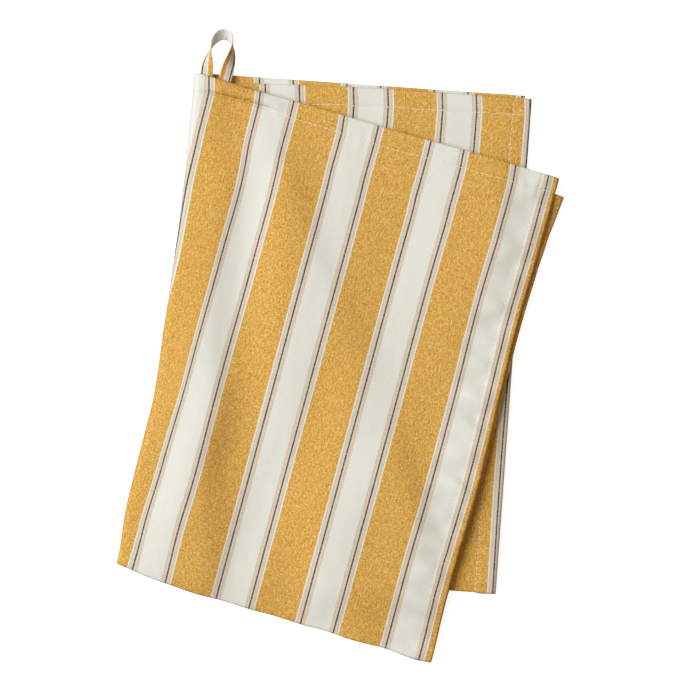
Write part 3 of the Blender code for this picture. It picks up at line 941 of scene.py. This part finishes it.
def stripedCotton(name, seamAt=None):   # seamAt is given on the tape alone
    material, tree, shader = principled(name, "cotton")
    plan = tree.add("ShaderNodeUVMap", uv_map="clothPlan").outputs["UV"]
    yarn = tree.add("ShaderNodeGroup", node_tree=yarns)
    tree.join(plan, yarn.inputs["Plan"])
    yarn.inputs["Yarn"].default_value = yarnSizes["pitch"]
    woven = tree.add("ShaderNodeGroup", node_tree=wovenStripes)
    tree.join(plan, woven.inputs["Plan"])
    tree.join(yarn.outputs["Weft"], woven.inputs["Beads"])

    blend = tree.math("ADD", tree.math("MULTIPLY", yarn.outputs["Warp"], heather["warp"]),
                      tree.math("MULTIPLY", yarn.outputs["Weft"], heather["weft"]))
    blend = tree.math("ADD", blend, tree.math("MULTIPLY", yarn.outputs["Grain"], heather["grain"]))
    tones = [linear(stripes[tone]) for tone in ("mustardDeep", "mustard", "mustardPale")]
    stops = list(zip((0.0, 0.5, 1.0), tones))
    mustard = tree.ramp(tree.span(blend, heather["from"], heather["to"]), stops)
    colour = tree.mix(woven.outputs["Mustard"], woven.outputs["Colour"], mustard)
    if seamAt:   # painted shade: the tape is darker along its topstitching, where the groove lies
        split = tree.add("ShaderNodeSeparateXYZ")
        tree.join(plan, split.inputs[0])
        beside = tree.math("ABSOLUTE", tree.math("SUBTRACT", split.outputs[0], seamAt))
        paintedSeamShadeMask = tree.span(beside, *reversed(stripes["paintedSeamShadeWide"]))
        colour = tree.mix(paintedSeamShadeMask, colour, linear(stripes["paintedSeamShade"]))
    speckle = tree.span(woven.outputs["Lines"], 0.0, 1.0,
                        heather["whiteSpeckle"], heather["lineSpeckle"])
    shade = tree.math("ADD", tree.math("MULTIPLY", tree.math("SUBTRACT", blend, 0.5), speckle), 1.0)
    # painted shade on the towel alone: its colour is darker where the surface turns steeply down,
    # at the rolled folds
    if not seamAt:
        facing = tree.add("ShaderNodeSeparateXYZ")
        tree.join(tree.add("ShaderNodeNewGeometry").outputs["Normal"], facing.inputs[0])
        level = tree.math("ABSOLUTE", facing.outputs[2])
        turned = tree.span(level, paintedFoldShade["from"], paintedFoldShade["to"], paintedFoldShade["shade"], 1.0)
        shade = tree.math("MULTIPLY", shade, turned)
    grey = tree.add("ShaderNodeCombineColor")
    for socket in grey.inputs:
        tree.join(shade, socket)
    tree.join(tree.mix(1.0, colour, grey.outputs[0], "MULTIPLY"), shader.inputs["Base Color"])

    bump = tree.add("ShaderNodeBump")
    bump.inputs["Strength"].default_value = finish["bump"]
    bump.inputs["Distance"].default_value = finish["bumpDistance"]
    tree.join(yarn.outputs["Height"], bump.inputs["Height"])
    tree.join(bump.outputs["Normal"], shader.inputs["Normal"])
    return material


def sewingThread(name, colour):
    material, tree, shader = principled(name, "thread")
    place = tree.add("ShaderNodeTexCoord").outputs["Object"]
    twist = tree.noise(place, (thread["twist"], thread["twist"]))
    base = linear(colour)
    darker = tuple(c * thread["shade"] for c in base[:3]) + (1,)
    tree.join(tree.mix(twist, darker, base), shader.inputs["Base Color"])
    return material


towel.data.materials.append(stripedCotton("striped cotton"))
tape.data.materials.append(stripedCotton("striped cotton tape", loop["stripeStart"] + loop["seam"]))
for seam, name, colour in ((hemStitches, "cream sewing thread", "threadCream"),
                           (loopUnderStitches, "white sewing thread", "thinWhite"),
                           (loopStitches, "yellow sewing thread", "threadYellow")):
    seam.data.materials.append(sewingThread(name, stripes[colour]))
print("cotton woven and dyed")


# the studio: a pale floor, one soft light from the left and a pale room
studio = {
    "floorSize": 6.0,
    "floorDrop": 0.0002,
    "floorColour": (196, 196, 195),
    "floorRoughness": 0.8,
    "floorSpecular": 0.1,
    "floorGlow": 0.85,
    "lightFrom": 160,          # degrees round from +X
    "lightHeight": 46,
    "lightFar": 4.0,
    "lightSize": 3.6,
    "lightPower": 220,
    "lightColour": (0.85, 0.92, 1.0),
    "roomLight": 0.30,
    "roomColour": (1.0, 0.80, 0.58, 1),   # shadows between the layers are warm
    "white": (1, 1, 1, 1),
    "cameraHeight": 1.6,
    "cameraAside": -0.0009,
    "sensor": 36,
    "pictureWide": 0.49,       # what the camera sees across at the floor
}


def addFloor():
    bpy.ops.object.select_all(action="DESELECT")
    place = (shift[0], shift[1], -studio["floorDrop"])
    bpy.ops.mesh.primitive_plane_add(size=studio["floorSize"], location=place)
    floor = bpy.context.object
    floor.name = "floor"
    material = bpy.data.materials.new("pale floor")
    material.use_nodes = True
    shader = material.node_tree.nodes["Principled BSDF"]
    shader.inputs["Base Color"].default_value = linear(studio["floorColour"])
    shader.inputs["Roughness"].default_value = studio["floorRoughness"]
    shader.inputs["Specular IOR Level"].default_value = studio["floorSpecular"]
    shader.inputs["Emission Color"].default_value = studio["white"]
    tree = Tree(material.node_tree)   # the glow shows to the camera and lights nothing
    seen = tree.add("ShaderNodeLightPath").outputs["Is Camera Ray"]
    tree.join(tree.math("MULTIPLY", seen, studio["floorGlow"]), shader.inputs["Emission Strength"])
    floor.data.materials.append(material)


def addLights():
    turn, rise = math.radians(studio["lightFrom"]), math.radians(studio["lightHeight"])
    level = math.cos(rise)
    away = Vector((math.cos(turn) * level, math.sin(turn) * level, math.sin(rise)))
    bpy.ops.object.light_add(type="AREA", location=away * studio["lightFar"])
    light = bpy.context.object
    light.name = "softbox"
    light.data.shape = "DISK"
    light.data.size = studio["lightSize"]
    light.data.energy = studio["lightPower"]
    light.data.color = studio["lightColour"]
    light.rotation_euler = away.to_track_quat("Z", "Y").to_euler()
    world = bpy.data.worlds.new("pale room")
    world.use_nodes = True
    background = world.node_tree.nodes["Background"]
    tree = Tree(world.node_tree)   # white to the camera, dimmer as light
    seen = tree.add("ShaderNodeLightPath").outputs["Is Camera Ray"]
    tree.join(tree.mix(seen, studio["roomColour"], studio["white"]), background.inputs["Color"])
    tree.join(tree.span(seen, 0.0, 1.0, studio["roomLight"], 1.0), background.inputs["Strength"])
    bpy.context.scene.world = world


def addCamera():
    place = (shift[0] + studio["cameraAside"], shift[1], studio["cameraHeight"])
    bpy.ops.object.camera_add(location=place, rotation=(0, 0, 0))
    camera = bpy.context.object
    camera.data.sensor_width = studio["sensor"]
    camera.data.lens = studio["sensor"] * studio["cameraHeight"] / studio["pictureWide"]
    bpy.context.scene.camera = camera


addFloor()
addLights()
addCamera()
bpy.context.scene.view_settings.view_transform = "Standard"
print("studio lit")

for piece, slotName in ((towel, "striped_cotton"), (hemStitches, "striped_cotton"),
                        (tape, "loop_tape"), (loopStitches, "loop_tape"),
                        (loopUnderStitches, "loop_tape")):
    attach(piece, "root")
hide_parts("towel_cloth")
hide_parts("hanging_loop")
